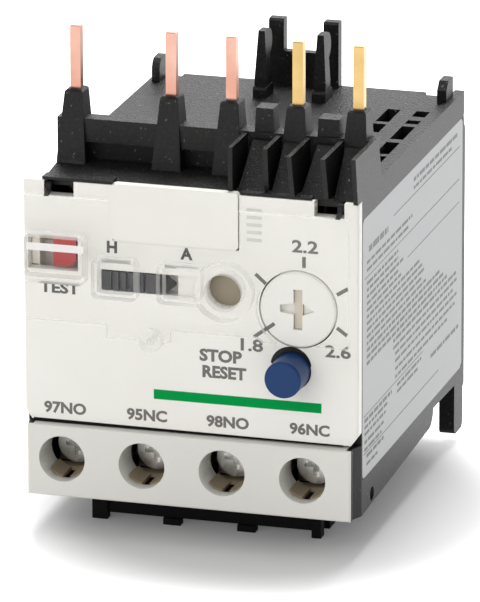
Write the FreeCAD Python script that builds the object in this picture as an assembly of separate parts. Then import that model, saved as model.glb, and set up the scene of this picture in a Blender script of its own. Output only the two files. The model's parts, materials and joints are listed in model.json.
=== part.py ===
import FreeCAD, Part
import math
import os

# Plug-in thermal overload relay, 45 mm wide.  Millimetres, +X right, +Y to the rear, +Z up.
# While drawing, Y = 0 is the front plane of the white fascia, X = 0 the middle of the relay and
# Z = 0 the plane that it stands on.  save() moves everything so that the origin is the middle of
# the footprint.

V = FreeCAD.Vector

# ---- driving dimensions -------------------------------------------------------------------------
WIDTH = 45.0
WALL = 1.6
FASCIA_TOP = 47.9            # top edge of the white fascia
FASCIA_BOTTOM = 15.45
FASCIA_T = 1.6
DECK_Z = 48.5                # flat black top behind the pins
WALL_TOP = 54.3              # barriers between the pins
CROSS_REAR = 9.9             # rear face of the wall across the pins
TOWER_TOP = 57.9
PIN_TOP = 66.3
PIN_W, PIN_D = 1.4, 1.2
PIN_Y = 9.4                  # all five plug pins stand in one row
PIN_X = (-18.0, -5.1, 3.0, 11.9, 20.0)
STUB_X = (7.7, 16.3)         # short posts without a pin
STUB_TOP = (57.4, 56.6)
BARRIERS = ((5.3, 0.4, 0.0), (9.8, 0.9, 0.7), (13.7, -1.7, 1.7), (18.2, -1.7, 1.7))  # place, tip, setback
BARRIER_T = 0.6
REAR_Y = 52.9
LEG_BOTTOM = 1.6
COVER_T = 1.0                # rear cover beyond the housing
STRIP_TOP = 15.1
STRIP_BOTTOM = 5.5
STRIP_PROUD = 1.44
STRIP_HALF = 21.8
AUX_X = (-17.08, -6.26, 4.56, 15.38)
AUX_Z = 10.66
DRIVER_R = 3.1
BAY_X = (-9.85, 0.35, 10.55)  # three power terminals, and the bimetals above them
BLOCK_HALF = 15.6
BLOCK_FRONT, BLOCK_REAR = 6.8, 36.0
BAY_FRONT = 14.2
DIAL_X, DIAL_Z, DIAL_R = 14.48, 33.29, 5.05
RESET_X, RESET_Z, RESET_R = 13.6, 25.0, 2.45
RESET_FRONT = -4.5
HINGE_Y, HINGE_Z = 0.55, 47.12
HINGE_X = (-17.6, 18.6)
TRIP_X, TRIP_Y = 8.0, 14.6   # vertical pin of the trip lever
LABEL_Y, LABEL_Z = (2.0, 52.1), (10.3, 45.2)
LABEL_T = 0.14

HALF = WIDTH / 2
INNER = HALF - WALL
BACK = REAR_Y + COVER_T
MID_Y = (RESET_FRONT + BACK) / 2
CAVITY_TOP = DECK_Z - WALL


# ---- small modelling helpers --------------------------------------------------------------------
def box(x0, x1, y0, y1, z0, z1):
    return Part.makeBox(x1 - x0, y1 - y0, z1 - z0, V(x0, y0, z0))


def rod(start, axis, radius, length):
    return Part.makeCylinder(radius, length, V(*start), V(*axis))


def rod_y(x, z, radius, y0, y1):
    return rod((x, y0, z), (0, 1, 0), radius, y1 - y0)


def rod_z(x, y, radius, z0, z1):
    return rod((x, y, z0), (0, 0, 1), radius, z1 - z0)


def rod_x(y, z, radius, x0, x1):
    return rod((x0, y, z), (1, 0, 0), radius, x1 - x0)


def prism(points, direction):
    wire = Part.makePolygon(points + [points[0]])
    return Part.Face(wire).extrude(direction)


def prism_x(yz, x0, x1):
    return prism([V(x0, y, z) for y, z in yz], V(x1 - x0, 0, 0))


def prism_y(xz, y0, y1):
    return prism([V(x, y0, z) for x, z in xz], V(0, y1 - y0, 0))


def prism_z(xy, z0, z1):
    return prism([V(x, y, z0) for x, y in xy], V(0, 0, z1 - z0))


def join(*shapes):
    first, rest = shapes[0], list(shapes[1:])
    return first.multiFuse(rest).removeSplitter() if rest else first


def edges_where(shape, test):
    return [edge for edge in shape.Edges if test(edge)]


def along(edge, axis):
    """True for a straight edge that runs along the given axis letter."""
    box_ = edge.BoundBox
    spans = {"x": box_.XLength, "y": box_.YLength, "z": box_.ZLength}
    others = [spans[letter] for letter in "xyz" if letter != axis]
    return spans[axis] > 1e-3 and max(others) < 1e-3


def round_all(shape, axis, radius):
    """Rounds every straight edge of a block that runs along one axis."""
    return shape.makeFillet(radius, edges_where(shape, lambda edge: along(edge, axis)))


def bevel_all(shape, axis, size):
    return shape.makeChamfer(size, edges_where(shape, lambda edge: along(edge, axis)))


def frustum(centre, base, top, z0, z1):
    """Tapered post.  base and top are (half width, y front, y rear)."""
    wires = []
    for (half, y0, y1), z in ((base, z0), (top, z1)):
        corners = [V(centre - half, y0, z), V(centre + half, y0, z),
                   V(centre + half, y1, z), V(centre - half, y1, z)]
        wires.append(Part.makePolygon(corners + [corners[0]]))
    return Part.makeLoft(wires, True, True)


def bar(start, end, width, height, lift=(0, 0, 1)):
    """Flat bar from start to end, width across its run and height along lift."""
    a, b, up = V(*start), V(*end), V(*lift)
    run = b - a
    side = run.cross(up).normalize() * (width / 2)
    face = Part.Face(Part.makePolygon([a - side, a + side, b + side, b - side, a - side]))
    return face.extrude(up * height)


# ---- casing ---------------------------------------------------------------------------------------
def housing_side():
    """Outer profile of the housing, seen from the side, as a closed face at X = -HALF."""
    x = -HALF
    corners = [(FASCIA_T + 0.05, STRIP_BOTTOM), (34.9, 6.7)]
    step = [V(x, 34.9, 6.7), V(x, 36.9, 7.4), V(x, 37.6, 8.9)]
    rest = [(37.6, 8.9), (REAR_Y, 8.6), (REAR_Y, 44.8), (51.5, DECK_Z), (7.0, DECK_Z), (FASCIA_T + 0.05, 47.95)]
    edges = [Part.makeLine(V(x, *corners[0]), V(x, *corners[1]))]
    edges.append(Part.Arc(*step).toShape())
    loop = rest + [corners[0]]
    for (y0, z0), (y1, z1) in zip(loop, loop[1:]):
        edges.append(Part.makeLine(V(x, y0, z0), V(x, y1, z1)))
    return Part.Face(Part.Wire(edges))


def pin_tower(x):
    """Tapered shroud of one plug pin, with the pin's slot through it."""
    tower = frustum(x, (2.0, 6.3, 10.9), (1.2, 8.0, 10.7), DECK_Z - 0.6, TOWER_TOP)
    return bevel_all_top(tower, TOWER_TOP, 0.25)


def bevel_all_top(shape, z, size):
    top = edges_where(shape, lambda edge: edge.BoundBox.ZMin > z - 1e-3)
    return shape.makeChamfer(size, top)


def barrier(x, front_tip, setback):
    """Thin wall beside a pin; its front edge leans forward from the deck up to the tip."""
    profile = [(front_tip + setback, DECK_Z - 0.2), (front_tip, WALL_TOP - 0.2), (8.2, WALL_TOP - 0.2),
               (8.2, DECK_Z - 0.5), (2.0, DECK_Z - 0.5), (2.0, DECK_Z - 0.2)]
    return prism_x(profile, x - BARRIER_T / 2, x + BARRIER_T / 2)


def bay_ramp(left, right, post):
    """Sloping guide in one bay: full width at the deck, from the post to the right wall at its top."""
    wires = []
    for x, y, z in ((left, 0.9, 47.95), (post - 1.2, 6.8, 53.4)):
        corners = [V(x, y, z), V(right, y, z), V(right, 8.2, z), V(x, 8.2, z)]
        wires.append(Part.makePolygon(corners + [corners[0]]))
    return Part.makeLoft(wires, True, True)


def pin_row():
    """Cross wall, barriers, ramps and towers along the front of the top."""
    parts = [box(-20.1, HALF, 7.5, CROSS_REAR, DECK_Z - 0.6, WALL_TOP)]
    parts += [barrier(*values) for values in BARRIERS]
    end = [(FASCIA_T + 0.1, 47.95), (-0.4, 47.95), (-1.6, WALL_TOP), (9.3, WALL_TOP), (11.3, DECK_Z - 0.2)]
    parts.append(prism_x(end, HALF - BARRIER_T, HALF))
    walls = [values[0] for values in BARRIERS] + [HALF - BARRIER_T / 2]
    for left, right, post in zip(walls, walls[1:], (STUB_X[0], PIN_X[3], STUB_X[1], PIN_X[4])):
        parts.append(bay_ramp(left + 0.75, right, post))
    for x in PIN_X:
        parts.append(pin_tower(x))
    for x, top, half in zip(STUB_X, STUB_TOP, (1.15, 1.4)):
        parts.append(frustum(x, (half + 0.25, 7.2, 10.8), (half, 8.0, 10.6), DECK_Z - 0.6, top))
    return parts


def undercuts():
    """Grooves under the lip of the cross wall, between the left-hand towers."""
    edges = (PIN_X[0] + 1.6, PIN_X[1] - 1.6, PIN_X[1] + 1.6, PIN_X[2] - 1.6,
             PIN_X[2] + 1.5, BARRIERS[0][0] - BARRIER_T / 2)
    grooves = []
    for left, right in zip(edges[::2], edges[1::2]):
        groove = box(left, right, 7.3, 9.3, DECK_Z, 51.2)
        top = edges_where(groove, lambda e: along(e, "y") and e.BoundBox.ZMin > 51.0)
        grooves.append(groove.makeFillet(min(0.6, (right - left) / 3), top))
    return grooves


def catch_hooks():
    """Rear plate with two posts, and two round-headed hooks in front of them."""
    parts = [box(-3.9, 5.8, 50.2, 51.5, DECK_Z - 0.6, 53.1)]
    for x in (-3.9, 3.7):
        post = [(50.2, DECK_Z - 0.6), (50.2, 57.2), (50.5, 57.5), (51.8, 57.5), (51.8, DECK_Z - 0.6)]
        parts.append(prism_x(post, x, x + 2.1))
    for x in (-3.0, 5.15):
        parts.append(box(x - 0.85, x + 0.85, 43.1, 45.4, DECK_Z - 0.5, 51.0))
        parts.append(frustum(x, (0.85, 43.1, 45.4), (0.45, 43.6, 45.4), 51.0, 57.5))
        parts.append(rod_x(45.3, 55.6, 1.9, x - 0.45, x + 0.45).common(box(x - 1, x + 1, 43.6, 48, 53, 58)))
        parts.append(round_all(box(x - 0.95, x + 0.95, 42.6, 46.0, DECK_Z - 0.7, 50.0), "x", 0.5))
    return parts


def side_lugs():
    """Small locating lugs at the rear corners of the deck."""
    right = prism_x([(46.5, 48.0), (46.5, 50.3), (47.6, 51.4), (50.0, 51.4), (50.0, 48.0)], 20.4, 21.7)
    left = [(46.5, 48.0), (46.5, 50.4), (46.8, 51.1), (47.4, 51.6), (48.2, 51.7), (49.5, 51.7), (49.5, 48.0)]
    return [right, prism_x(left, -19.2, -18.1)]


def strip_cheeks():
    """Forward ends of the side walls; they taper in behind the front of the terminal strip."""
    inner = STRIP_HALF - 0.6
    outline = [(inner, -0.8), (STRIP_HALF, -0.8), (STRIP_HALF, 0.0), (HALF, FASCIA_T), (HALF, 2.4), (inner, 2.4)]
    mirrored = [(-x, y) for x, y in outline]
    return [prism_z(points, STRIP_BOTTOM, STRIP_TOP) for points in (outline, mirrored)]


def rear_legs():
    parts = []
    for x in (-HALF, HALF - 2.1):
        leg = box(x, x + 2.1, 48.5, REAR_Y, LEG_BOTTOM, 9.2)
        low = edges_where(leg, lambda edge: along(edge, "x") and edge.BoundBox.ZMin < LEG_BOTTOM + 0.1)
        parts.append(leg.makeFillet(0.9, low))
    return parts


def vents():
    """Cooling slots through the right side of the deck."""
    columns = {14.8: ((36.1, 42.2), (31.0, 35.0)),
               18.8: ((39.5, 42.2), (36.0, 37.7), (28.5, 34.7), (21.4, 27.0), (15.0, 20.4))}
    cuts = []
    for x, slots in columns.items():
        for y0, y1 in slots:
            cuts.append(box(x, x + 1.8, y0, y1, CAVITY_TOP - 1, DECK_Z + 1))
    return cuts


def base_housing():
    shell = housing_side().extrude(V(WIDTH, 0, 0))
    hollow = [(-1, 6.9), (34.6, 8.3), (37.4, 10.3), (60, 10.3), (60, 43.4), (51.2, 43.4), (50.0, CAVITY_TOP),
              (-1, CAVITY_TOP)]
    shell = shell.cut(prism_x(hollow, -INNER, INNER))
    corner = box(-INNER - 0.2, -19.1, FASCIA_T + 0.05, 51.0, 43.6, CAVITY_TOP + 0.2)
    lips = [box(x0, x1, 0.2, FASCIA_T + 0.6, 47.95, 48.3) for x0, x1 in ((-20.3, -10.5), (6.7, 16.2))]
    ridge = box(HALF - 1.3, HALF, 10.0, REAR_Y, 45.5, DECK_Z + 0.2)
    body = join(shell, corner, ridge, *lips, *pin_row(), *catch_hooks(), *side_lugs(), *rear_legs(),
                *strip_cheeks())
    cuts = [box(-HALF - 1, -19.9, 0, 60, 45.4, 50)]
    cuts += undercuts() + vents()
    cuts.append(box(17.6, HALF - 1.4, 50.2, 60, 47.0, 50))
    cuts.append(box(-30, -16.1, 50.2, 60, 47.0, 50))
    cuts.append(box(0.6 - STRIP_HALF, STRIP_HALF - 0.6, -5, 2.05, 0, FASCIA_BOTTOM - 0.2))
    for x in PIN_X:
        cuts.append(box(x - PIN_W / 2, x + PIN_W / 2, PIN_Y - PIN_D / 2, PIN_Y + PIN_D / 2, 40, 70))
    cuts.append(box(-BLOCK_HALF, BLOCK_HALF, BLOCK_FRONT, BLOCK_REAR, 0, 9.5))
    for x in AUX_X:
        cuts.append(box(x - 2.4, x + 2.4, 8.4, 11.0, 0, 9.5))
    cuts.append(box(HALF - LABEL_T, HALF + 1, LABEL_Y[0], LABEL_Y[1], LABEL_Z[0], LABEL_Z[1]))
    cuts.append(rod_x(6.7, 6.95, 0.95, HALF - 1.2, HALF + 1))
    return body.cut(Part.makeCompound(cuts)).removeSplitter()


def back_cover():
    plate = box(-HALF + 0.1, HALF - 0.1, REAR_Y, BACK, 6.1, 44.7)
    plate = round_all(plate, "y", 1.5)
    rim = box(-INNER, INNER, 51.4, REAR_Y, 10.4, 43.3).cut(box(-19.4, 19.4, 51, REAR_Y, 11.8, 41.9))
    ribs = [box(-19.4, 19.4, 51.4, REAR_Y, z, z + 1.2) for z in (20.0, 31.0)]
    return join(plate, rim, *ribs)


def power_terminal_block():
    front = box(-BLOCK_HALF, BLOCK_HALF, BLOCK_FRONT, BAY_FRONT, 0, 6.8)
    rear = box(-BLOCK_HALF, BLOCK_HALF, BAY_FRONT, BLOCK_REAR, 0, 10.2)
    cuts = [box(-14.4, 14.4, 8.2, 11.8, -1, 5.0)]
    for x in AUX_X:
        cuts.append(box(x - 2.4, x + 2.4, 8.4, 11.0, -1, 7))
    for x0, x1 in ((-13.5, -5.9), (-3.5, 4.2), (6.7, 14.3)):
        cuts.append(box(x0, x1, 6, 8.3, -1, 0.9))
    cuts.append(box(-13.5, 14.3, 6, BLOCK_FRONT + 0.5, 0.9, 7))
    for x in BAY_X:
        cuts.append(box(x - 3.95, x + 3.95, BAY_FRONT, 37, -1, 8.7))
        cuts.append(rod_z(x, 18.0, 2.3, 8, 11))
        cuts.append(box(x - 2.2, x + 2.6, 25.2, 33.5, 8, 11))
    return join(front, rear).cut(Part.makeCompound(cuts)).removeSplitter()


def fascia_plate():
    outline = [(-HALF, FASCIA_BOTTOM + 1.4), (-HALF + 1.0, FASCIA_BOTTOM), (HALF - 1.0, FASCIA_BOTTOM),
               (HALF, FASCIA_BOTTOM + 1.4), (HALF, FASCIA_TOP), (-HALF, FASCIA_TOP)]
    plate = prism_y(outline, 0, FASCIA_T)
    front = edges_where(plate, lambda e: e.BoundBox.YMax < 1e-3 and along(e, "z"))
    plate = plate.makeFillet(0.35, front)
    cuts = []
    for x in HINGE_X:
        cuts.append(box(x - 2.0, x + 2.0, -1, 2, 45.9, 49))
        cuts.append(rod_x(HINGE_Y, HINGE_Z, 0.45, x - 2.7, x + 2.7))
    cuts.append(box(-10.4, 6.6, -1, 1.0, 40.5, 49))
    cuts.append(box(-21.85, -15.1, -1, 2, 35.9, 40.6))
    cuts.append(box(-11.95, -1.75, -1, 2, 33.7, 36.5))
    cuts.append(box(-1.8, 0.75, -1, 0.5, 33.7, 36.5))
    cuts.append(rod_y(4.6, 34.9, 2.35, -1, 2))
    cuts.append(rod_y(DIAL_X, DIAL_Z, DIAL_R + 0.2, -1, 2))
    cuts.append(rod_y(RESET_X, RESET_Z, RESET_R + 0.15, -1, 2))
    return plate.cut(Part.makeCompound(cuts))


def terminal_strip():
    bar_ = box(-STRIP_HALF, STRIP_HALF, -STRIP_PROUD, 2.0, STRIP_BOTTOM, STRIP_TOP)
    rounded = edges_where(bar_, lambda e: along(e, "x") and e.BoundBox.YMax < 0)
    ends = edges_where(bar_, lambda e: along(e, "z") and e.BoundBox.YMax < 0)
    bar_ = bar_.makeFillet(0.3, rounded + ends)
    tubes = [rod_y(x, AUX_Z, 3.8, 1.9, 4.1) for x in AUX_X]
    cuts = [rod_y(x, AUX_Z, DRIVER_R, -3, 5) for x in AUX_X]
    cuts += [box(x - 2.3, x + 2.3, 0.4, 5, 6.6, 8.5) for x in AUX_X]
    # The ends are thin plates in front of the cheeks of the housing.
    cuts += [box(STRIP_HALF - 0.7, 30, -0.9, 5, 0, 20), box(-30, 0.7 - STRIP_HALF, -0.9, 5, 0, 20)]
    return join(bar_, *tubes).cut(Part.makeCompound(cuts))


def id_plate():
    return bevel_all(box(-10.3, 6.5, -0.35, 0.88, 40.6, 48.2), "y", 0.3)


def side_label():
    return round_all(box(HALF - LABEL_T, HALF, *LABEL_Y, *LABEL_Z), "x", 0.9)


COVER_BACK, COVER_FRONT = -0.45, -1.2
COVER_TOP = 46.1


def raised_window(x0, x1, z0, z1, front):
    """Hollow raised box of the clear cover: its outside, and the hollow to cut from it."""
    outside = round_all(box(x0, x1, front, COVER_BACK, z0, z1), "y", 0.8)
    hollow = round_all(box(x0 + 0.6, x1 - 0.6, front + 0.7, COVER_BACK + 1, z0 + 0.6, z1 - 0.6), "y", 0.4)
    return outside, hollow


def clear_cover():
    sheet_points = [(-22.4, 29.3), (-11.0, 29.3), (-11.0, 27.6), (-2.4, 27.6), (-2.4, 29.3), (9.2, 29.3),
                    (10.0, 28.7), (21.4, 28.7), (21.4, COVER_TOP), (6.8, COVER_TOP), (6.8, 40.2),
                    (-10.6, 40.2), (-10.6, COVER_TOP), (-22.4, COVER_TOP)]
    sheet = prism_y(sheet_points, COVER_FRONT, COVER_BACK)
    windows = [raised_window(-22.4, -13.3, 34.9, 41.4, -3.0),
               raised_window(-12.5, -6.4, 33.3, 38.7, -2.8),
               raised_window(-3.7, 2.6, 33.3, 38.7, -2.8)]
    ring = rod_y(5.2, 35.5, 3.9, -3.0, COVER_BACK)
    eye = rod_y(-4.75, 28.0, 1.5, -2.4, COVER_BACK)
    parts = [sheet, ring, eye] + [outside for outside, _ in windows]
    arm = [(COVER_FRONT, 45.6), (COVER_FRONT, COVER_TOP), (-0.1, 46.75), (0.3, HINGE_Z + 0.48),
           (HINGE_Y, HINGE_Z + 0.6), (HINGE_Y, HINGE_Z - 0.6), (COVER_BACK, 45.9), (COVER_BACK, 45.6)]
    for inner, outer in ((HINGE_X[0] - 1.1, HINGE_X[0] - 1.7), (HINGE_X[1] + 1.1, HINGE_X[1] + 1.7)):
        side, tip = (-1, outer - 0.9) if outer < inner else (1, outer + 0.9)
        parts.append(prism_x(arm, inner, outer))
        parts.append(rod((inner, HINGE_Y, HINGE_Z), (side, 0, 0), 0.62, 0.6))
        parts.append(rod((inner, HINGE_Y, HINGE_Z), (side, 0, 0), 0.4, abs(tip - inner)))
    cuts = [hollow for _, hollow in windows]
    cuts += [rod_y(5.2, 35.5, 2.45, -4, 1), rod_y(-4.75, 28.0, 0.5, -4, 1)]
    cuts.append(rod_y(DIAL_X, DIAL_Z, DIAL_R + 0.3, -4, 1).common(box(0, 30, -5, 5, DIAL_Z - 4.7, 50)))
    return join(*parts).cut(Part.makeCompound(cuts)).removeSplitter()


# ---- controls -------------------------------------------------------------------------------------
def reset_button():
    cap = rod_y(RESET_X, RESET_Z, RESET_R, RESET_FRONT, 3.0)
    cap = cap.makeFillet(0.35, edges_where(cap, lambda e: e.BoundBox.YMax < RESET_FRONT + 1e-3))
    flange = rod_y(RESET_X, RESET_Z, 2.7, 2.9, 3.5)
    stem = rod_y(RESET_X, RESET_Z, 1.3, 3.4, 10.6)
    return join(cap, flange, stem)


def coil(centre, radius, wire, turns, length, axis):
    """Coil spring of square wire, swept along a helix."""
    helix = Part.makeHelix(length / turns, length, radius)
    inner, outer, low, high = radius - wire / 2, radius + wire / 2, -wire / 2, wire / 2
    profile = Part.makePolygon([V(inner, 0, low), V(outer, 0, low), V(outer, 0, high), V(inner, 0, high),
                                V(inner, 0, low)])
    shape = Part.Wire(helix).makePipeShell([profile], True, True)
    turn = FreeCAD.Rotation(V(0, 0, 1), V(*axis))
    shape.Placement = FreeCAD.Placement(V(*centre), turn)
    return shape


def reset_spring():
    return coil((RESET_X, 3.66, RESET_Z), 1.9, 0.3, 3.5, 3.58, (0, 1, 0))


CROSS = 5.4
CAM_Y, CAM_T = 12.4, 1.2


def adjusting_dial():
    disc = rod_y(DIAL_X, DIAL_Z, DIAL_R, -0.25, 1.9)
    disc = disc.makeChamfer(0.2, edges_where(disc, lambda e: e.BoundBox.YMax < -0.2))
    flange = rod_y(DIAL_X, DIAL_Z, 5.45, 1.8, 2.5)
    shaft = join(rod_y(DIAL_X, DIAL_Z, 2.0, 2.4, CAM_Y), rod_y(DIAL_X, DIAL_Z, 1.3, 12.0, CAM_Y + CAM_T))
    slot = box(DIAL_X - 0.6, DIAL_X + 0.6, -1, 0.9, DIAL_Z - CROSS / 2, DIAL_Z + CROSS / 2)
    arrow = prism_y([(DIAL_X - 2.4, DIAL_Z + 0.55), (DIAL_X + 0.5, DIAL_Z + 1.0), (DIAL_X + 2.2, DIAL_Z - 0.1),
                     (DIAL_X + 0.5, DIAL_Z - 0.8), (DIAL_X - 2.4, DIAL_Z - 0.45)], -1, 0.6)
    return join(disc, flange, shaft).cut(join(slot, arrow))


CAM_MIN, CAM_RISE, CAM_SWEEP = 3.0, 1.6, 240.0


def dial_cam():
    """Spiral cam: its edge moves out evenly while the dial turns through its range."""
    spiral = []
    steps = 24
    for i in range(steps + 1):
        turn = CAM_SWEEP * i / steps
        radius = CAM_MIN + CAM_RISE * turn / CAM_SWEEP
        angle = math.radians(turn)
        spiral.append(V(DIAL_X + radius * math.cos(angle), CAM_Y, DIAL_Z + radius * math.sin(angle)))
    curve = Part.BSplineCurve()
    curve.interpolate(spiral)
    # The rest of the turn falls back to the small radius.
    mid = math.radians(CAM_SWEEP + 60)
    inward = V(DIAL_X + 3.2 * math.cos(mid), CAM_Y, DIAL_Z + 3.2 * math.sin(mid))
    back = Part.Arc(spiral[-1], inward, spiral[0]).toShape()
    cam = Part.Face(Part.Wire([curve.toShape(), back])).extrude(V(0, CAM_T, 0))
    return cam.cut(rod_y(DIAL_X, DIAL_Z, 1.3, CAM_Y - 1, CAM_Y + 2))


def selector_slide():
    knob = box(-11.85, -4.4, -0.1, 1.75, 33.85, 36.35)
    point = [(-4.5, 33.95), (-3.2, 33.95), (-1.9, 35.1), (-1.9, 35.4), (-3.2, 36.3), (-4.5, 36.3)]
    tongue = prism_y(point, 0.05, 0.45)
    flange = box(-12.7, -1.5, 1.7, 2.5, 32.9, 37.3)
    grooves = [box(x, x + 0.35, -1, 0.25, 33, 37) for x in (-10.6, -9.6, -8.6, -7.0, -6.2)]
    return join(knob, tongue, flange).cut(Part.makeCompound(grooves))


def test_slide():
    flag = prism_y([(-18.7, 36.2), (-16.4, 36.2), (-15.6, 37.0), (-15.6, 40.4), (-18.7, 40.4)], 0.8, 1.6)
    root = box(-17.9, -15.6, 1.5, 3.0, 37.0, 40.0)
    rail = box(-17.9, 9.3, 2.9, 3.9, 37.0, 38.6)
    fork = box(6.7, 9.3, 3.8, 5.6, 37.0, 38.6).cut(box(7.35, 8.65, 3.85, 6, 36, 40))
    return join(flag, root, rail, fork)


def recess_plug():
    return rod_y(4.6, 34.9, 3.0, FASCIA_T, 2.6)


# ---- power path -------------------------------------------------------------------------------------
CEILING = 44.0


def pin_blade(x):
    blade = box(x - PIN_W / 2, x + PIN_W / 2, PIN_Y - PIN_D / 2, PIN_Y + PIN_D / 2, CEILING, PIN_TOP)
    tip = edges_where(blade, lambda e: e.BoundBox.ZMin > PIN_TOP - 1e-3)
    return blade.makeChamfer(0.1, tip)


def plug_pin(index):
    """Copper plug pin with its strip over to the bimetal of the same pole."""
    x, goal = PIN_X[index], BAY_X[index]
    turns = [(x, PIN_Y - 0.6), (x, 14.0), (goal, 21.0), (goal, 35.4)]
    half = 1.0
    path = [(px - half, py) for px, py in turns] + [(px + half, py) for px, py in reversed(turns)]
    strip = prism_z(path, CEILING, CEILING + 1.2)
    leg = box(goal - half, goal + half, 34.2, 35.4, 31.0, CEILING + 0.6)
    return join(pin_blade(x), strip, leg)


def link_pin_4():
    """Brass pin that joins the contactor to the normally closed contact, behind the contacts."""
    x = PIN_X[3]
    run = box(x - 0.7, x + 0.7, 8.8, 19.8, CEILING, CEILING + 1.2)
    drop = box(x - 0.7, x + 0.7, 18.8, 19.8, 14.5, CEILING + 0.6)
    across = box(AUX_X[1] - 0.7, x + 0.7, 18.8, 19.8, 14.5, 15.5)
    forward = box(AUX_X[1] - 0.7, AUX_X[1] + 0.7, 11.6, 19.8, 14.5, 15.5)
    foot = box(AUX_X[1] - 0.7, AUX_X[1] + 0.7, 11.6, 12.4, 12.6, 15.5)
    return join(pin_blade(x), run, drop, across, forward, foot)


def link_pin_5():
    """Brass pin that drops beside the right-hand wall to the last auxiliary terminal."""
    x = PIN_X[4]
    drop = box(x - 0.6, x + 0.6, 8.9, 9.9, 12.0, CEILING + 0.6)
    foot = box(AUX_X[3] + 3.0, x + 0.6, 8.9, 11.4, 12.0, 13.2)
    return join(pin_blade(x), drop, foot)


BIMETAL_Y = (27.0, 32.0)
BIMETAL_TOP = 41.6


def bimetal(index):
    x = BAY_X[index]
    return box(x - 0.4, x + 0.4, BIMETAL_Y[0], BIMETAL_Y[1], 10.6, BIMETAL_TOP)


def heater_winding(index):
    """Resistance ribbon wound round the bimetal, one lead to the pin strip, one to the terminal."""
    x = BAY_X[index]
    y0, y1 = BIMETAL_Y[0] - 0.9, BIMETAL_Y[1] + 0.9
    half, wire, pitch, turns, z0 = 1.3, 0.8, 2.6, 6, 15.5
    corners = [(x - half, y0), (x + half, y0), (x + half, y1), (x - half, y1)]
    points = []
    for i in range(4 * turns + 3):
        cx, cy = corners[i % 4]
        points.append((cx, cy, z0 + pitch * i / 4))
    bars = []
    for a, b in zip(points, points[1:]):
        bars.append(bar(a, b, wire, wire))
    for point in points[1:-1]:
        bars.append(box(point[0] - wire / 2, point[0] + wire / 2, point[1] - wire / 2, point[1] + wire / 2,
                        point[2], point[2] + wire))
    top = points[-1]
    bars.append(box(top[0] - wire / 2, top[0] + wire / 2, top[1] - wire / 2, 34.2, top[2], top[2] + wire))
    low = points[0]
    side = wire / 2
    bars.append(box(low[0] - side, low[0] + side, low[1] - side, low[1] + side, 8.7, low[2] + wire))
    return join(*bars)


def output_terminal(index):
    """Threaded tag of a power terminal, with the upstand that carries the bimetal."""
    x = BAY_X[index]
    tag = box(x - 3.6, x + 3.6, BAY_FRONT + 0.1, 32.0, 7.7, 8.7).cut(rod_z(x, 18.0, 2.05, 7, 9))
    upstand = box(x + 0.4, x + 1.4, 27.2, 31.8, 8.0, 14.4)
    return join(tag, upstand)


def screw(head_r, head_h, shank_r, length, cross):
    """Cross-head screw along +Z with its head's face at Z = 0."""
    head = Part.makeCylinder(head_r, head_h)
    shank = Part.makeCylinder(shank_r, length, V(0, 0, head_h))
    arm = head_r * 0.62
    slots = [box(-arm, arm, -cross / 2, cross / 2, -1, head_h * 0.6),
             box(-cross / 2, cross / 2, -arm, arm, -1, head_h * 0.6)]
    return join(head, shank).cut(join(*slots))


def power_screw(index):
    piece = screw(3.4, 1.5, 1.98, 6.6, 0.9)
    piece.translate(V(BAY_X[index], 18.0, 0.7))
    return piece


def power_saddle(index):
    x = BAY_X[index]
    plate = box(x - 3.6, x + 3.6, 14.4, 21.6, 2.25, 3.05)
    lips = [box(x - 3.6, x + 3.6, y, y + 0.7, 3.0, 3.6) for y in (14.4, 20.9)]
    return join(plate, *lips).cut(rod_z(x, 18.0, 2.06, 0, 9))


# ---- auxiliary terminals --------------------------------------------------------------------------
def aux_screw(index):
    piece = screw(2.6, 1.5, 1.45, 5.0, 0.8)
    piece.rotate(V(0, 0, 0), V(1, 0, 0), -90)
    piece.translate(V(AUX_X[index], 5.4, AUX_Z))
    return piece


def aux_saddle(index):
    x = AUX_X[index]
    plate = box(x - 2.9, x + 2.9, 6.95, 7.75, AUX_Z - 2.9, AUX_Z + 2.9)
    lips = [box(x - 2.9, x + 2.9, 7.7, 8.3, z, z + 0.6) for z in (AUX_Z - 2.9, AUX_Z + 2.3)]
    return join(plate, *lips).cut(rod_y(x, AUX_Z, 1.55, 5, 9))


TAG_Y = (10.6, 11.6)


def aux_tag(index):
    x = AUX_X[index]
    plate = box(x - 3.0, x + 3.0, TAG_Y[0], TAG_Y[1], 7.6, 14.6)
    return plate.cut(rod_y(x, AUX_Z, 1.52, 9, 13))


NO_PIVOT = (-17.5, 11.7)
NC_PIVOT = (-8.5, 11.7)
NC_Z = (27.5, 31.5)
NO_Z = (19.0, 23.0)
BLADE_END = 4.6
RIVET_X = 0.8
PIN_R = 0.5


def contact_post(index, pivot, levels, stem_y):
    """Brass post: threaded tag below, two ears above, and the pin of a contact blade in the ears."""
    x = pivot[0]
    left = x - 2.6
    stem = box(left, x - 1.4, stem_y, stem_y + 1.0, 13.2, levels[1] + 1.2)
    ears = [box(left, x + 0.9, 11.0, stem_y + 1.0, z, z + 0.9) for z in (levels[0] - 1.2, levels[1] + 0.3)]
    bridge = box(left, AUX_X[index] - 1.2, TAG_Y[0], stem_y + 1.0, 13.2, 14.6)
    pin = rod_z(x, pivot[1], PIN_R, levels[0] - 1.6, levels[1] + 1.6)
    return join(aux_tag(index), bridge, stem, pin, *ears)


def contact_post_1():
    return contact_post(0, NO_PIVOT, NO_Z, 11.0)


def contact_post_2():
    return contact_post(1, NC_PIVOT, NC_Z, 12.6)


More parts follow.
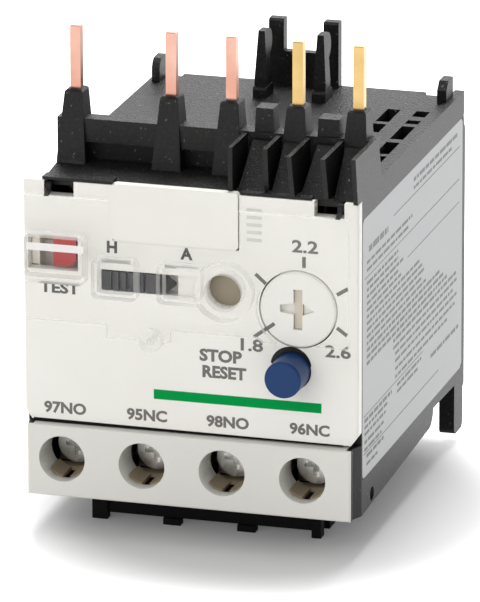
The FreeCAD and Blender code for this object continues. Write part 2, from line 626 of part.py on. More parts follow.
def moving_blade(pivot, levels, rivet_side):
    """Contact blade on its pin, reaching right in front of the trip lever's paddle."""
    z0, z1 = levels
    middle = (z0 + z1) / 2
    blade = box(pivot[0], BLADE_END, 11.5, 11.9, z0, z1)
    knuckle = rod_z(pivot[0], pivot[1], 1.0, z0, z1)
    y0, y1 = (11.15, 11.6) if rivet_side == "front" else (11.8, 12.25)
    rivet = rod_y(RIVET_X, middle, 0.9, y0, y1)
    return join(blade, knuckle, rivet).cut(rod_z(pivot[0], pivot[1], PIN_R + 0.05, 10, 40))


def nc_moving_contact():
    return moving_blade(NC_PIVOT, NC_Z, "front")


def no_moving_contact():
    return moving_blade(NO_PIVOT, NO_Z, "rear")


def nc_fixed_contact():
    """Fixed contact in front of the closed blade, led down and right to the last terminal."""
    middle = sum(NC_Z) / 2
    head = box(-1.4, 2.1, 10.25, 10.75, 17.0, NC_Z[1])
    rivet = rod_y(RIVET_X, middle, 0.9, 10.7, 11.09)
    across = box(-1.4, AUX_X[3] + 3.0, 10.25, 10.75, 16.9, 18.1)
    down = box(AUX_X[3] - 1.0, AUX_X[3] + 1.0, 10.25, 10.75, 14.0, 18.1)
    return join(aux_tag(3), head, rivet, across, down)


def no_fixed_contact():
    """Fixed contact behind the open blade, led down to the third terminal."""
    middle = sum(NO_Z) / 2
    head = box(-0.6, 5.0, 13.5, 14.0, 14.0, NO_Z[1])
    rivet = rod_y(RIVET_X, middle, 0.9, 13.15, 13.6)
    foot = box(2.2, 5.0, 11.4, 14.0, 14.0, 14.6)
    return join(aux_tag(2), head, rivet, foot)


# ---- trip mechanism -------------------------------------------------------------------------------
def mechanism_frame():
    """Inner moulding: front wall, floor, rear partition and the guides of the moving pieces."""
    front = box(-INNER, INNER, 7.4, 8.4, 15.6, 43.6)
    floor = box(-INNER, INNER, 4.3, 22.2, 15.6, 16.6)
    partition = box(-INNER, INNER, 21.2, 22.2, 15.6, 36.4)
    apron = box(-INNER, INNER, 4.3, 6.6, 7.25, 7.7)
    parts = [front, floor, partition, apron]
    for x in (-11.7, -0.85, 9.97):
        parts.append(box(x - 0.5, x + 0.5, 4.3, 12.8, 7.6, 16.0))
    for x in AUX_X:
        for side in (-1, 1):
            near, far = x + side * 0.5, x + side * 2.2
            wedge = prism_y([(near, 7.25), (far, 7.25), (far, 8.9), (near, 7.9)], 0.6, 4.5)
            parts.append(wedge.cut(rod_y(x, AUX_Z, 2.96, 0, 5)))
    parts.append(rod_z(TRIP_X, TRIP_Y, 1.6, 16.0, 17.2))
    parts.append(box(5.0, 10.0, 7.8, 16.4, 43.0, 43.9))
    for x in (-13.0, -3.0):
        parts.append(box(x, x + 2.0, 2.9, 7.6, 35.7, 36.8))
        parts.append(box(x, x + 2.0, 2.9, 7.6, 38.8, 39.8))
        parts.append(box(x, x + 2.0, 4.2, 7.6, 35.7, 39.8))
    parts.append(box(15.6, 20.6, 12.8, 16.2, 23.0, 28.2))
    parts.append(box(15.8, 17.0, 8.2, 13.0, 23.0, 28.2))
    cuts = [rod_y(DIAL_X, DIAL_Z, 2.06, 7, 9), rod_y(RESET_X, RESET_Z, 1.36, 7, 9)]
    cuts.append(box(3.4, 9.6, 7, 8.5, 38.6, 42.6))
    cuts.append(box(13.0, 21.5, 13.75, 15.25, 24.2, 30))
    cuts.append(rod_z(TRIP_X, TRIP_Y, 0.8, 15, 45))
    cuts.append(box(-20.3, -18.7, 10.8, 12.2, 15, 17))
    cuts.append(box(-11.3, -9.7, 12.4, 13.8, 15, 17))
    cuts.append(box(14.2, 16.6, 10.1, 10.9, 15, 17))
    cuts.append(box(-0.7, 5.1, 13.4, 14.1, 15, 17))
    cuts.append(box(11.1, 12.7, 18.7, 19.9, 15, 17))
    cuts.append(box(19.3, 20.95, 8.8, 10.0, 15, 17))
    return join(*parts).cut(Part.makeCompound(cuts)).removeSplitter()


def trip_pin():
    return rod_z(TRIP_X, TRIP_Y, 0.8, 15.8, 43.9)


def trip_lever():
    """Lever with a hub on the pin, a paddle for both blades, a reset arm and the flag arm."""
    hub = rod_z(TRIP_X, TRIP_Y, 1.6, 17.5, 42.4)
    paddle = [(3.6, 9.9), (7.8, 9.9), (7.8, 14.0), (6.6, 14.0), (6.6, 11.1), (4.2, 11.1), (3.6, 10.7)]
    paddle = prism_z(paddle, 18.5, 32.0)
    reset_arm = box(8.0, 14.9, 13.1, 14.3, 23.4, 26.6)
    flag_arm = box(7.3, 8.7, 3.9, 14.0, 38.9, 40.2)
    peg = rod_z(TRIP_X, 4.6, 0.5, 37.3, 39.2)
    body = join(hub, paddle, reset_arm, flag_arm, peg)
    return body.cut(rod_z(TRIP_X, TRIP_Y, 0.86, 17, 43))


def setting_slide():
    """Follower of the dial's cam; it carries the pivot of the compensating lever."""
    plate = box(15.8, 18.6, 13.9, 15.1, 24.6, 37.9)
    lug = box(17.55, 18.6, 12.4, 14.0, 30.2, 36.4)
    shelf = box(15.0, 18.6, 13.9, 17.4, 36.9, 37.9)
    pivot = join(rod_z(16.6, 15.8, 0.7, 37.8, 42.6), rod_z(16.6, 15.8, 1.1, 42.5, 43.2))
    return join(plate, lug, shelf, pivot)


def compensating_lever():
    """Temperature compensating strip: its tail meets the differential lever, its nose the trip lever."""
    z0, z1 = 38.2, 42.2
    boss = rod_z(16.6, 15.8, 1.4, z0, z1)
    tail = prism_z([(16.9, 16.0), (17.0, 24.9), (17.8, 24.9), (17.7, 16.0)], z0 + 0.3, z1)
    nose = prism_z([(16.4, 14.7), (10.6, 9.3), (10.05, 9.9), (15.8, 15.4)], z0 + 0.3, z1)
    return join(boss, tail, nose).cut(rod_z(16.6, 15.8, 0.76, 30, 50))


SLIDE_Y = (25.4, 33.6)
SLIDE_END = 16.6
PHASE_LAG = 0.6              # how far the differential slide may stay behind the push slide
LEVER_PIVOT = (15.0, 31.6)
DRIVE_PIN = (13.6, 27.2)     # pin of the push slide, against the left side of the lever
DRIVE_R = 0.6


def windowed_slide(z0, z1, spare):
    """Slide with a window round each bimetal.  spare widens the window's right-hand side."""
    plate = box(-15.5, SLIDE_END, SLIDE_Y[0], SLIDE_Y[1], z0, z1)
    plate = round_all(plate, "z", 0.8)
    windows = [box(x - 1.9, x + 0.65 + spare, 26.6, 32.4, z0 - 1, z1 + 1) for x in BAY_X]
    return plate.cut(Part.makeCompound(windows))


def push_slide():
    pin = rod_z(DRIVE_PIN[0], DRIVE_PIN[1], DRIVE_R, 39.0, 42.2)
    return join(windowed_slide(38.0, 39.2, 0.0), pin)


def differential_slide():
    plate = windowed_slide(39.5, 40.7, PHASE_LAG + 0.1)
    clear = DRIVE_R + 0.2
    slot = box(DRIVE_PIN[0] - clear, DRIVE_PIN[0] + clear + PHASE_LAG, DRIVE_PIN[1] - clear,
               DRIVE_PIN[1] + clear, 39, 41)
    pivot = rod_z(LEVER_PIVOT[0], LEVER_PIVOT[1], 0.7, 40.6, 42.8)
    return join(plate.cut(slot), pivot)


def differential_lever():
    """Lever that adds the two slides' movements, so that a lost phase trips the relay sooner."""
    x, y = LEVER_PIVOT
    left = DRIVE_PIN[0] + DRIVE_R + 0.05
    arm = prism_z([(left, y), (left, 23.7), (15.6, 23.7), (15.6, 24.7), (16.0, 27.5), (16.2, y)], 41.0, 42.0)
    return join(arm, rod_z(x, y, 1.3, 41.0, 42.0)).cut(rod_z(x, y, 0.76, 40, 43))


def guide_plate():
    """Plate across the housing that the two slides rest and run on, with legs behind the bimetals."""
    parts = [box(-INNER, INNER, 21.4, 37.0, 36.4, 37.7)]
    for x in (-INNER, 17.4):
        parts.append(box(x, x + 3.5, 35.2, 37.0, 10.4, 37.0))
    for x0, x1, y0 in ((-20.9, -14.0, 33.9), (14.0, 20.9, 33.9), (-20.9, -14.0, 23.9)):
        parts.append(box(x0, x1, y0, y0 + 1.2, 37.6, 41.0))
    cuts = [box(x - 2.6, x + 2.6, 25.8, 36.0, 36, 38) for x in BAY_X]
    return join(*parts).cut(Part.makeCompound(cuts))


# ---- output ---------------------------------------------------------------------------------------
def save(name, shape):
    moved = shape.copy()
    moved.translate(V(0, -MID_Y, 0))
    if not moved.isValid():
        print("NOT VALID:", name)
    moved.exportStep("parts/%s.step" % name)


PIECES = {
    "base_housing": base_housing, "back_cover": back_cover, "power_terminal_block": power_terminal_block,
    "fascia_plate": fascia_plate, "terminal_strip": terminal_strip, "id_plate": id_plate,
    "side_label": side_label, "clear_cover": clear_cover, "reset_button": reset_button,
    "reset_spring": reset_spring, "adjusting_dial": adjusting_dial, "dial_cam": dial_cam,
    "selector_slide": selector_slide, "test_slide": test_slide, "recess_plug": recess_plug,
    "link_pin_4": link_pin_4, "link_pin_5": link_pin_5, "contact_post_1": contact_post_1,
    "contact_post_2": contact_post_2,
    "nc_fixed_contact": nc_fixed_contact, "no_fixed_contact": no_fixed_contact,
    "nc_moving_contact": nc_moving_contact, "no_moving_contact": no_moving_contact,
    "mechanism_frame": mechanism_frame, "trip_pin": trip_pin, "trip_lever": trip_lever,
    "setting_slide": setting_slide, "compensating_lever": compensating_lever,
    "push_slide": push_slide, "differential_slide": differential_slide,
    "differential_lever": differential_lever, "guide_plate": guide_plate,
}
POLES = {"plug_pin": plug_pin, "bimetal": bimetal, "heater_winding": heater_winding,
         "output_terminal": output_terminal, "power_screw": power_screw, "power_saddle": power_saddle}
AUXILIARIES = {"aux_screw": aux_screw, "aux_saddle": aux_saddle}

os.makedirs("parts", exist_ok=True)
for piece_name, make in PIECES.items():
    save(piece_name, make())
for group, count in ((POLES, 3), (AUXILIARIES, 4)):
    for piece_name, make in group.items():
        for number in range(count):
            save("%s_%d" % (piece_name, number + 1), make(number))
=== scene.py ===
import json
import math

import bpy
from mathutils import Matrix, Vector


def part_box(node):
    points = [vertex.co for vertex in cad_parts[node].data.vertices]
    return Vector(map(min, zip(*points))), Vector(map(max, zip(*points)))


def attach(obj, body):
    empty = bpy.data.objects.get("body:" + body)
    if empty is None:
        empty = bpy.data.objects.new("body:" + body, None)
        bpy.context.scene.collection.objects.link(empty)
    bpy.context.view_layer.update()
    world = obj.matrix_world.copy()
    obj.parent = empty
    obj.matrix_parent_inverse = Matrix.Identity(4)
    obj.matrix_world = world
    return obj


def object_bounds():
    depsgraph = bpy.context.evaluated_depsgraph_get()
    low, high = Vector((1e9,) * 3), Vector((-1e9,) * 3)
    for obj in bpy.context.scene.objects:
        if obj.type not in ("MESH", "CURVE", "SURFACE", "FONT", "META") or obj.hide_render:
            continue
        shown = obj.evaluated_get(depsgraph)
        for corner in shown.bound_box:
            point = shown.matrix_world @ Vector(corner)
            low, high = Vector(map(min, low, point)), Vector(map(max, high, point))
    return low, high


# Thermal overload relay.  The CAD model is the frame; this script adds its finishes and print.
# Places are written in millimetres in the relay's own frame: x to the right of the middle,
# y behind the front plane of the white fascia, z above the plane that the relay stands on.

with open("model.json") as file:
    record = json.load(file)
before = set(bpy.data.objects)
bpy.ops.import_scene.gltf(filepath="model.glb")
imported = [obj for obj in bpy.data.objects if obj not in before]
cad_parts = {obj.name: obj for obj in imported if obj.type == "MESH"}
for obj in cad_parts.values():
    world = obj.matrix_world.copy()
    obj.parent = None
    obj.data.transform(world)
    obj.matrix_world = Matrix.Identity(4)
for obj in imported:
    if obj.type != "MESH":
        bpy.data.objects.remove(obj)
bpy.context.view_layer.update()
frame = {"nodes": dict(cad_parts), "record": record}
NODES = frame["nodes"]
MM = 0.001
FASCIA_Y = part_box("fascia_plate")[0].y


def at(x, y, z):
    """Row-frame place, in metres, of a point given in millimetres."""
    return Vector((x * MM, FASCIA_Y + y * MM, z * MM))


# ---- camera -----------------------------------------------------------------------------------
VIEW_AZIMUTH, VIEW_ELEVATION, VIEW_ROLL = 16.38, 17.29, -0.16
VIEW_DISTANCE, VIEW_LENS = 1.024, 466.4
VIEW_AIM = at(0, 20, 27.5)
VIEW_SHIFT = (0.0101, -0.0035)


def make_camera():
    data = bpy.data.cameras.new("camera")
    data.lens = VIEW_LENS
    data.shift_x, data.shift_y = VIEW_SHIFT
    data.clip_start, data.clip_end = 0.05, 20
    camera = bpy.data.objects.new("camera", data)
    bpy.context.scene.collection.objects.link(camera)
    azimuth, elevation = math.radians(VIEW_AZIMUTH), math.radians(VIEW_ELEVATION)
    back = Vector((math.sin(azimuth) * math.cos(elevation), -math.cos(azimuth) * math.cos(elevation),
                   math.sin(elevation)))
    camera.location = VIEW_AIM + back * VIEW_DISTANCE
    camera.rotation_mode = "QUATERNION"
    turn = (-back).to_track_quat("-Z", "Y")
    camera.rotation_quaternion = turn @ Matrix.Rotation(math.radians(VIEW_ROLL), 3, "Z").to_quaternion()
    bpy.context.scene.camera = camera


make_camera()

# ---- materials --------------------------------------------------------------------------------


def node_material(name, color, roughness=0.5, **sockets):
    """Material with one Principled shader.  Extra sockets are given by name, with _ for a space."""
    material = bpy.data.materials.new(name)
    material.use_nodes = True
    shader = material.node_tree.nodes["Principled BSDF"]
    shader.inputs["Base Color"].default_value = (*color, 1)
    shader.inputs["Roughness"].default_value = roughness
    for key, value in sockets.items():
        shader.inputs[key.replace("_", " ")].default_value = value
    return material


def link(material, source, output, target, entry):
    material.node_tree.links.new(source.outputs[output], target.inputs[entry])


def add_grain(material, scale, strength, depth=0.00002, detail=3):
    """Fine moulded grain as a bump."""
    nodes = material.node_tree.nodes
    place = nodes.new("ShaderNodeTexCoord")
    noise = nodes.new("ShaderNodeTexNoise")
    noise.inputs["Scale"].default_value = scale
    noise.inputs["Detail"].default_value = detail
    bump = nodes.new("ShaderNodeBump")
    bump.inputs["Strength"].default_value = strength
    bump.inputs["Distance"].default_value = depth
    link(material, place, "Object", noise, "Vector")
    link(material, noise, "Fac", bump, "Height")
    link(material, bump, "Normal", nodes["Principled BSDF"], "Normal")


def add_mottle(material, dark, light, scale, low=0.35, high=0.65, detail=4):
    """Slow change of colour between two tones."""
    nodes = material.node_tree.nodes
    place = nodes.new("ShaderNodeTexCoord")
    noise = nodes.new("ShaderNodeTexNoise")
    noise.inputs["Scale"].default_value = scale
    noise.inputs["Detail"].default_value = detail
    ramp = nodes.new("ShaderNodeValToRGB")
    ramp.color_ramp.elements[0].position = low
    ramp.color_ramp.elements[0].color = (*dark, 1)
    ramp.color_ramp.elements[1].position = high
    ramp.color_ramp.elements[1].color = (*light, 1)
    link(material, place, "Object", noise, "Vector")
    link(material, noise, "Fac", ramp, "Fac")
    link(material, ramp, "Color", nodes["Principled BSDF"], "Base Color")
    return ramp.color_ramp


FINE_GRAIN, COARSE_GRAIN = (4600, 0.00006), (3300, 0.0004)  # scale of the noise, depth in metres


def black_plastic(name="black_plastic", grain=FINE_GRAIN):
    material = node_material(name, (0.006, 0.0056, 0.0054), 0.44, Specular_IOR_Level=0.23)
    tones = add_mottle(material, (0.004, 0.0037, 0.0036), (0.009, 0.0083, 0.008), 2300, 0.42, 0.62)
    # A few pale specks, as on any moulding with a coarse grain.
    for position, tone in ((0.695, 0.009), (0.71, 0.14)):
        tones.elements.new(position).color = (tone, tone * 0.95, tone * 0.92, 1)
    scale, depth = grain
    add_grain(material, scale, 0.9, depth, 2)
    return material


def dull_black():
    """Black with next to no shine: the power terminal block, and the sheet of painted shadow in the gap under the
    fascia.
    """
    return node_material("dull_black", (0.006, 0.006, 0.006), 0.6, Specular_IOR_Level=0.08)


def white_plastic():
    material = node_material("white_plastic", (0.82, 0.805, 0.75), 0.4)
    add_mottle(material, (0.80, 0.785, 0.73), (0.83, 0.815, 0.765), 60)
    add_grain(material, 6000, 0.12)
    return material


def metal(name, dark, light, roughness, scale=700):
    """Bright metal with a slow change of tone."""
    material = node_material(name, light, roughness, Metallic=1.0)
    add_mottle(material, dark, light, scale)
    return material


def clear_plastic(name, alpha):
    """Clear moulding as a near-white sheet of the given opacity: the flats show little of themselves, and a higher
    opacity on the rims paints their highlight.
    """
    return node_material(name, (0.92, 0.91, 0.89), 0.08, Alpha=alpha)


MATERIALS = {
    "black_plastic": black_plastic(),
    "white_plastic": white_plastic(),
    "clear_plastic": clear_plastic("clear_plastic", 0.02),
    "label": node_material("label", (0.49, 0.495, 0.50), 0.5, Specular_IOR_Level=0.2),
    "tan_plastic": node_material("tan_plastic", (0.34, 0.27, 0.18), 0.55),
    "beige_plastic": node_material("beige_plastic", (0.60, 0.55, 0.44), 0.55),
    "dial_plastic": node_material("dial_plastic", (0.80, 0.785, 0.735), 0.4),
    "grey_plastic": node_material("grey_plastic", (0.022, 0.023, 0.026), 0.4),
    "red_plastic": node_material("red_plastic", (0.42, 0.02, 0.02), 0.4),
    "blue_plastic": node_material("blue_plastic", (0.006, 0.036, 0.13), 0.35, Specular_IOR_Level=0.2),
    "copper": metal("copper", (0.48, 0.25, 0.19), (0.56, 0.34, 0.27), 0.32, 180),
    "brass": metal("brass", (0.45, 0.31, 0.12), (0.56, 0.39, 0.17), 0.3, 180),
    "plated_steel": metal("plated_steel", (0.46, 0.45, 0.43), (0.88, 0.87, 0.84), 0.26, 350),
    "bimetal": metal("bimetal", (0.40, 0.37, 0.33), (0.55, 0.52, 0.47), 0.35),
    "resistance_alloy": metal("resistance_alloy", (0.18, 0.17, 0.16), (0.32, 0.31, 0.3), 0.45),
}
INK = {
    "grey_ink": node_material("grey_ink", (0.13, 0.12, 0.11), 0.5),
    "dark_ink": node_material("dark_ink", (0.055, 0.052, 0.05), 0.5),
    "green_ink": node_material("green_ink", (0.0, 0.29, 0.06), 0.6, Specular_IOR_Level=0.05),
    "latch_rib_shade": node_material("latch_rib_shade", (0.62, 0.61, 0.585), 0.5),
    "label_ink": node_material("label_ink", (0.10, 0.10, 0.105), 0.5),
}


def dress_nodes():
    for part in frame["record"]["subparts"]:
        mesh = NODES[part["node"]].data
        mesh.materials.clear()
        mesh.materials.append(MATERIALS[part["material_slot"]])


dress_nodes()
NODES["clear_cover"].visible_shadow = False


def paint_faces(name, material, chosen):
    """Second finish on the faces of a node whose middle, in millimetres, and normal pass the test."""
    mesh = NODES[name].data
    mesh.materials.append(material)
    slot = len(mesh.materials) - 1
    place = NODES[name].matrix_world
    for face in mesh.polygons:
        middle = (place @ face.center) / MM
        if chosen(middle.x, middle.y - FASCIA_Y / MM, middle.z, face.normal):
            face.material_index = slot


paint_faces("selector_slide", MATERIALS["black_plastic"], lambda x, y, z, n: x > -4.45 and y < 1.0)
paint_faces("selector_slide", MATERIALS["white_plastic"], lambda x, y, z, n: y > 1.6)
# Painted highlight: the cover's side faces, which form the rims of its raised windows, get a half-opaque pale finish.
paint_faces("clear_cover", clear_plastic("clear_rim_highlight", 0.5), lambda x, y, z, n: abs(n.y) < 0.6 and y < -0.1
            and not (-11.5 < x < 7.5 and z > 39.8))
paint_faces("clear_cover", MATERIALS["black_plastic"], lambda x, y, z, n: z > 46.3)
paint_faces("base_housing", black_plastic("black_deck", COARSE_GRAIN), lambda x, y, z, n: n.z > 0.95)
NODES["power_terminal_block"].data.materials[0] = dull_black()
NODES["recess_plug"].data.materials[0] = node_material("plug_plastic", (0.30, 0.255, 0.19), 0.5)
NODES["terminal_strip"].data.materials[0] = node_material("strip_plastic", (0.69, 0.675, 0.63), 0.42)

EDGE_ROUNDING = {"base_housing": 0.14, "fascia_plate": 0.12, "terminal_strip": 0.12, "power_terminal_block": 0.14,
                 "back_cover": 0.2}


def soften_edges():
    """Small radius on the sharp edges of the mouldings."""
    for name, radius in EDGE_ROUNDING.items():
        node = NODES[name]
        weld = node.modifiers.new("weld", "WELD")
        weld.merge_threshold = 0.000002
        bevel = node.modifiers.new("edge", "BEVEL")
        bevel.width = radius * MM
        bevel.segments = 2
        bevel.limit_method = "ANGLE"
        bevel.angle_limit = math.radians(35)
        bevel.use_clamp_overlap = True
        bevel.harden_normals = True


soften_edges()

# ---- print on the fascia ------------------------------------------------------------------------
INK_T = 0.03  # thickness of the print


def finish_piece(piece, material, body="housing"):
    piece.data.materials.append(material)
    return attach(piece, body)


def mesh_object(name, vertices, faces):
    mesh = bpy.data.meshes.new(name)
    mesh.from_pydata([tuple(v) for v in vertices], [], faces)
    mesh.validate()
    piece = bpy.data.objects.new(name, mesh)
    bpy.context.scene.collection.objects.link(piece)
    return piece


def plate_xz(name, outline, y_front, thickness, ink, body="housing"):
    """Flat print of a closed outline of (x, z) points, with its face towards the front."""
    n = len(outline)
    front = [at(x, y_front, z) for x, z in outline]
    rear = [at(x, y_front + thickness, z) for x, z in outline]
    faces = [tuple(range(n)), tuple(range(2 * n - 1, n - 1, -1))]
    faces += [(i, i + n, (i + 1) % n + n, (i + 1) % n) for i in range(n)]
    return finish_piece(mesh_object(name, front + rear, faces), ink, body)


def bar_outline(x0, z0, x1, z1, width):
    run = Vector((x1 - x0, z1 - z0)).normalized()
    side = Vector((-run.y, run.x)) * width / 2
    return [(x0 + side.x, z0 + side.y), (x0 - side.x, z0 - side.y), (x1 - side.x, z1 - side.y),
            (x1 + side.x, z1 + side.y)]


def words(name, text, x, z, height, ink, width=1.0, bold=0.0):
    """Lettering of a given cap height, centred on (x, z), facing the front."""
    curve = bpy.data.curves.new(name, "FONT")
    curve.body = text
    curve.size = 1.0
    curve.align_x = "CENTER"
    curve.align_y = "CENTER"
    curve.offset = bold
    curve.extrude = 0.02
    curve.resolution_u = 3
    source = bpy.data.objects.new(name, curve)
    bpy.context.scene.collection.objects.link(source)
    bpy.context.view_layer.update()
    mesh = bpy.data.meshes.new_from_object(source.evaluated_get(bpy.context.evaluated_depsgraph_get()))
    bpy.data.objects.remove(source)
    piece = bpy.data.objects.new(name, mesh)
    bpy.context.scene.collection.objects.link(piece)
    low = min(v.co.y for v in mesh.vertices)
    high = max(v.co.y for v in mesh.vertices)
    middle = (low + high) / 2
    scale = height / (high - low)
    for vertex in mesh.vertices:
        px = vertex.co.x * scale * width
        pz = (vertex.co.y - middle) * scale
        depth = -INK_T if vertex.co.z > 0 else 0.0
        vertex.co = at(x + px, depth, z + pz)
    return finish_piece(piece, ink)


def fascia_print():
    grey, dark = INK["grey_ink"], INK["dark_ink"]
    ticks = ((15.24, 40.4, 15.24, 38.93), (8.77, 37.58, 10.17, 36.36), (21.09, 36.61, 19.63, 35.68),
             (20.97, 30.30, 19.63, 31.26), (8.56, 29.09, 10.4, 30.5))
    for i, (x0, z0, x1, z1) in enumerate(ticks):
        plate_xz("dial_tick_%d" % (i + 1), bar_outline(x0, z0, x1, z1, 0.48), -INK_T, INK_T, grey)
    for name, text, x, z in (("dial_mark_mid", "2.2", 15.37, 41.75), ("dial_mark_low", "1.8", 8.02, 27.96),
                             ("dial_mark_high", "2.6", 19.77, 28.04)):
        words(name, text, x, z, 1.7, grey, bold=0.025, width=1.28)
    plate_xz("dial_pointer", bar_outline(10.3, 30.4, 11.37, 31.22, 0.48), -0.27, 0.02, grey, "dial")
    words("selector_mark_h", "H", -10.48, 39.6, 1.6, dark, bold=0.04)
    words("selector_mark_a", "A", -0.46, 39.5, 1.6, dark, bold=0.04)
    plate_xz("selector_bar_h", bar_outline(-11.84, 37.7, -8.06, 37.7, 0.5), -INK_T, INK_T, dark)
    plate_xz("selector_bar_a", bar_outline(-3.35, 37.6, -1.9, 37.6, 0.4), -INK_T, INK_T, dark)
    plate_xz("selector_line_a", bar_outline(-1.9, 37.7, 0.9, 37.7, 0.15), -INK_T, INK_T, grey)
    words("test_mark", "TEST", -17.6, 33.5, 1.5, dark, bold=0.035, width=1.25)
    words("stop_mark", "STOP", 4.05, 26.1, 1.7, grey, bold=0.04, width=1.08)
    words("reset_mark", "RESET", 4.5, 23.9, 1.7, grey, bold=0.04, width=1.02)
    for i, (text, x) in enumerate((("97NO", -17.0), ("95NC", -5.9), ("98NO", 5.0), ("96NC", 16.0))):
        words("terminal_mark_%d" % (i + 1), text, x, 17.2, 1.6, grey, bold=0.035, width=1.08)
    plate_xz("front_stripe", bar_outline(-4.96, 20.2, 17.57, 20.2, 1.3), -INK_T, INK_T, INK["green_ink"])


fascia_print()


def blocks(name, boxes, material, body="housing"):
    """One piece made of plain blocks, each (x0, x1, y0, y1, z0, z1) in millimetres."""
    vertices, faces = [], []
    for x0, x1, y0, y1, z0, z1 in boxes:
        base = len(vertices)
        vertices += [at(x, y, z) for z in (z0, z1) for y in (y0, y1) for x in (x0, x1)]
        faces += [tuple(base + i for i in face) for face in
                  ((0, 2, 3, 1), (4, 5, 7, 6), (0, 1, 5, 4), (2, 6, 7, 3), (0, 4, 6, 2), (1, 3, 7, 5))]
    return finish_piece(mesh_object(name, vertices, faces), material, body)


# Rows of the side label: height, front end, rear end and size of the writing.
LABEL_ROWS = ((43.6, 27, 49, 0.5), (42.5, 27, 46, 0.4), (40.6, 5, 14, 0.8), (39.0, 4, 26, 0.4), (38.0, 4, 24, 0.4),
              (36.2, 4, 19, 0.4), (35.3, 4, 19, 0.4), (34.4, 4, 22, 0.4), (33.5, 4, 19, 0.4), (32.6, 4, 21, 0.4),
              (31.7, 4, 30, 0.4), (30.8, 4, 31, 0.4), (29.9, 4, 32, 0.4), (29.0, 4, 31, 0.4), (28.1, 4, 33, 0.4),
              (27.2, 4, 40, 0.45), (26.3, 4, 42, 0.45), (25.4, 4, 44, 0.45), (24.5, 17, 49, 0.45),
              (23.5, 17, 49, 0.4), (22.5, 18, 47, 0.4), (21.5, 18, 49, 0.4), (20.4, 18, 48, 0.4), (19.3, 18, 44, 0.4),
              (17.9, 3, 16, 0.5), (17.9, 19, 31, 0.4), (17.0, 3, 14, 0.4), (17.0, 19, 29, 0.4), (16.1, 3, 13, 0.4),
              (15.0, 3, 12, 0.4), (14.0, 3, 11, 0.4), (12.9, 4, 12, 0.45), (11.8, 4, 9, 0.4), (16.6, 36, 50, 0.5))
LABEL_RULES = ((41.6, 17, 50.5), (37.1, 3, 50.5), (33.9, 24, 50.5), (18.6, 2.6, 32), (13.5, 2.6, 40))


def label_print():
    """Rows of short strokes in the place of the small writing, and thin rules between them."""
    face = 22.5  # the label's outer face, x
    strokes = []
    step = 7  # seed of the strokes' uneven lengths
    for z, start, end, size in LABEL_ROWS:
        y = start
        while y < end:
            step = (step * 29 + 11) % 97
            length = min(0.7 + 2.3 * step / 97, end - y + 0.3)
            strokes.append((face, face + 0.02, y, y + length, z - size / 2, z + size / 2))
            y += length + 0.45
    blocks("label_writing", strokes, INK["label_ink"])
    rules = [(face, face + 0.02, y0, y1, z - 0.06, z + 0.06) for z, y0, y1 in LABEL_RULES]
    blocks("label_rules", rules, INK["label_ink"])


label_print()

# Pale backing of the test opening, behind the slide, with a strip over the end of the side wall, and a tan band of
# painted shade across its top.
blocks("test_backing", [(-20.8, -15.3, 4.1, 4.4, 35.0, 41.0), (-21.8, -20.78, 1.61, 1.64, 36.0, 40.5),
                        (-20.88, -20.8, 1.62, 4.2, 35.0, 41.0)],
       node_material("pale_plastic", (0.86, 0.82, 0.73), 0.5))
blocks("test_backing_painted_shade", [(-20.8, -17.6, 4.05, 4.1, 38.6, 39.6)], MATERIALS["tan_plastic"])
# Painted highlight: a nearly opaque pale strip along the front edge of the raised window over the test button. Also
# the floor of the dial's cross slot.
blocks("test_window_highlight", [(-21.1, -13.4, -3.04, -3.0, 39.3, 40.3)], clear_plastic("painted_edge_highlight", 0.8),
       "cover")
blocks("dial_cross_floor", [(13.93, 15.03, 0.3, 0.85, 30.64, 35.94)], node_material("cross_floor", (0.62, 0.55, 0.46)),
       "dial")
# Painted shadow in the gap between the fascia and the terminal strip: a thin dull black sheet, wider at the left.
JOINT_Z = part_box("fascia_plate")[0].z / MM
JOINT_SHADOW_LEFT, JOINT_SHADOW_RIGHT = -21.3, 20.5
plate_xz("strip_joint_shadow", [(JOINT_SHADOW_LEFT, JOINT_Z - 0.3), (JOINT_SHADOW_RIGHT, JOINT_Z - 0.15), (JOINT_SHADOW_RIGHT, JOINT_Z + 0.04),
                         (JOINT_SHADOW_LEFT, JOINT_Z + 0.16)], -0.02, 0.02, dull_black())


def reset_shade():
    """Painted shade: a black crescent sheet along the upper edge of the hole that the reset button stands in."""
    x, z, inner, outer, rise = 13.6, 25.0, 2.52, 2.75, 0.45
    arc = [math.radians(a) for a in range(10, 171, 8)]
    upper = [(x - 0.1 + outer * math.cos(a), z + rise + outer * math.sin(a)) for a in arc]
    lower = [(x + inner * math.cos(a), z + inner * math.sin(a)) for a in reversed(arc)]
    plate_xz("reset_hole_shade", upper + lower, -0.015, 0.015, MATERIALS["black_plastic"])


reset_shade()
# Painted shade: thin grey strips stand for the shaded edges of the latch's ribs.
blocks("latch_ribs", [(7.6, 9.6, -0.06, 0.0, z, z + 0.4) for z in (41.9, 42.9, 43.9, 44.9, 45.9)], INK["latch_rib_shade"])

# ---- studio -------------------------------------------------------------------------------------


def area_light(name, place, aim, size, power):
    data = bpy.data.lights.new(name, "AREA")
    data.shape = "RECTANGLE"
    data.size, data.size_y = size
    data.energy = power
    light = bpy.data.objects.new(name, data)
    bpy.context.scene.collection.objects.link(light)
    light.location = place
    light.rotation_euler = (Vector(aim) - Vector(place)).to_track_quat("-Z", "Y").to_euler()


KEY_POWER, TOP_POWER, REAR_POWER = 11.0, 19.0, 12.0
ROOM_FRONT, ROOM_REAR, ROOM_RIGHT = 0.22, 0.6, 0.55
FLOOR_PAINTED_SHADOW, FLOOR_FAR = 0.09, 1.0


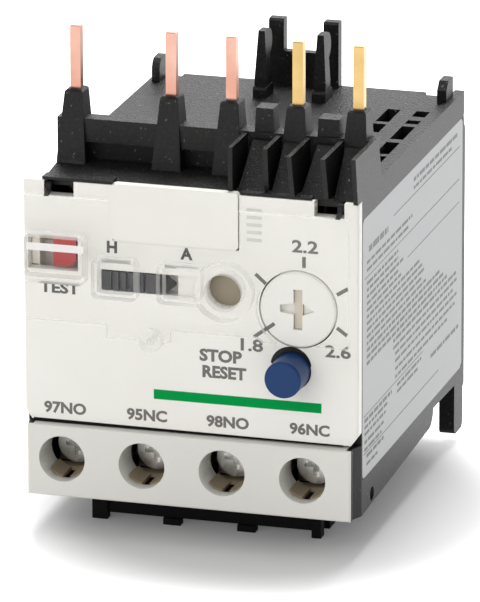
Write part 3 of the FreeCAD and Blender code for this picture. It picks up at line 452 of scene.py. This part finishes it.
def make_studio():
    bpy.context.scene.view_settings.view_transform = "Standard"
    world = bpy.data.worlds.new("studio")
    bpy.context.scene.world = world
    world.use_nodes = True
    nodes, links = world.node_tree.nodes, world.node_tree.links
    background = nodes["Background"]
    background.inputs["Color"].default_value = (1, 1, 1, 1)
    # The room is white behind and beside the relay and darker on the viewer's side.
    place = nodes.new("ShaderNodeTexCoord")
    split = nodes.new("ShaderNodeSeparateXYZ")
    links.new(place.outputs["Generated"], split.inputs[0])
    room = nodes.new("ShaderNodeMapRange")
    room.interpolation_type = "SMOOTHSTEP"
    for entry, value in (("From Min", -0.75), ("From Max", 0.15), ("To Min", ROOM_FRONT), ("To Max", ROOM_REAR)):
        room.inputs[entry].default_value = value
    links.new(split.outputs["Y"], room.inputs["Value"])
    side = nodes.new("ShaderNodeMapRange")
    side.interpolation_type = "SMOOTHSTEP"
    for entry, value in (("From Min", 0.1), ("From Max", 0.8), ("To Min", 1.0), ("To Max", ROOM_RIGHT)):
        side.inputs[entry].default_value = value
    links.new(split.outputs["X"], side.inputs["Value"])
    shade = nodes.new("ShaderNodeMath")
    shade.operation = "MULTIPLY"
    links.new(room.outputs["Result"], shade.inputs[0])
    links.new(side.outputs["Result"], shade.inputs[1])
    rays = nodes.new("ShaderNodeLightPath")
    seen = nodes.new("ShaderNodeMath")
    seen.operation = "MAXIMUM"
    links.new(rays.outputs["Is Camera Ray"], seen.inputs[0])
    power = nodes.new("ShaderNodeMix")
    links.new(seen.outputs[0], power.inputs["Factor"])
    links.new(shade.outputs[0], power.inputs["A"])
    power.inputs["B"].default_value = 1.0
    links.new(power.outputs["Result"], background.inputs["Strength"])
    area_light("key", (-0.6, -1.6, 0.9), (0, 0, 0.03), (1.6, 1.2), KEY_POWER)
    area_light("top", (-0.1, 0.6, 1.2), (0, 0, 0.0), (0.6, 0.6), TOP_POWER)
    area_light("rear", (0.0, 1.7, 0.6), (0, 0, 0.04), (2.4, 0.7), REAR_POWER)


def make_floor():
    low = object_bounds()[0].z
    size = 1.6
    floor = mesh_object("floor", [(-size, -size, low), (size, -size, low), (size, size, low), (-size, size, low)],
                        [(0, 1, 2, 3)])
    material = bpy.data.materials.new("floor")
    material.use_nodes = True
    nodes, links = material.node_tree.nodes, material.node_tree.links
    nodes.clear()
    output = nodes.new("ShaderNodeOutputMaterial")
    paper = nodes.new("ShaderNodeBsdfDiffuse")
    paper.inputs["Color"].default_value = (0.6, 0.6, 0.6, 1)
    glow = nodes.new("ShaderNodeEmission")
    rays = nodes.new("ShaderNodeLightPath")
    # Painted shadow: near the relay the paper's glow, for camera and glossy rays, is weak, which darkens a pool round
    # its base; away from the relay the paper runs into the white of the room.
    place = nodes.new("ShaderNodeTexCoord")
    away = nodes.new("ShaderNodeVectorMath")
    away.operation = "DISTANCE"
    away.inputs[1].default_value = at(6, 18, 0)
    links.new(place.outputs["Object"], away.inputs[0])
    painted_shadow = nodes.new("ShaderNodeMapRange")
    painted_shadow.interpolation_type = "SMOOTHSTEP"
    for entry, value in (("From Min", 0.025), ("From Max", 0.046), ("To Min", FLOOR_PAINTED_SHADOW), ("To Max", FLOOR_FAR)):
        painted_shadow.inputs[entry].default_value = value
    links.new(away.outputs["Value"], painted_shadow.inputs["Value"])
    seen = nodes.new("ShaderNodeMath")
    seen.operation = "MAXIMUM"
    links.new(rays.outputs["Is Camera Ray"], seen.inputs[0])
    links.new(rays.outputs["Is Glossy Ray"], seen.inputs[1])
    lift = nodes.new("ShaderNodeMath")
    lift.operation = "MULTIPLY"
    links.new(painted_shadow.outputs["Result"], lift.inputs[1])
    links.new(seen.outputs[0], lift.inputs[0])
    links.new(lift.outputs[0], glow.inputs["Strength"])
    both = nodes.new("ShaderNodeAddShader")
    links.new(paper.outputs[0], both.inputs[0])
    links.new(glow.outputs[0], both.inputs[1])
    links.new(both.outputs[0], output.inputs["Surface"])
    floor.data.materials.append(material)


make_studio()
make_floor()
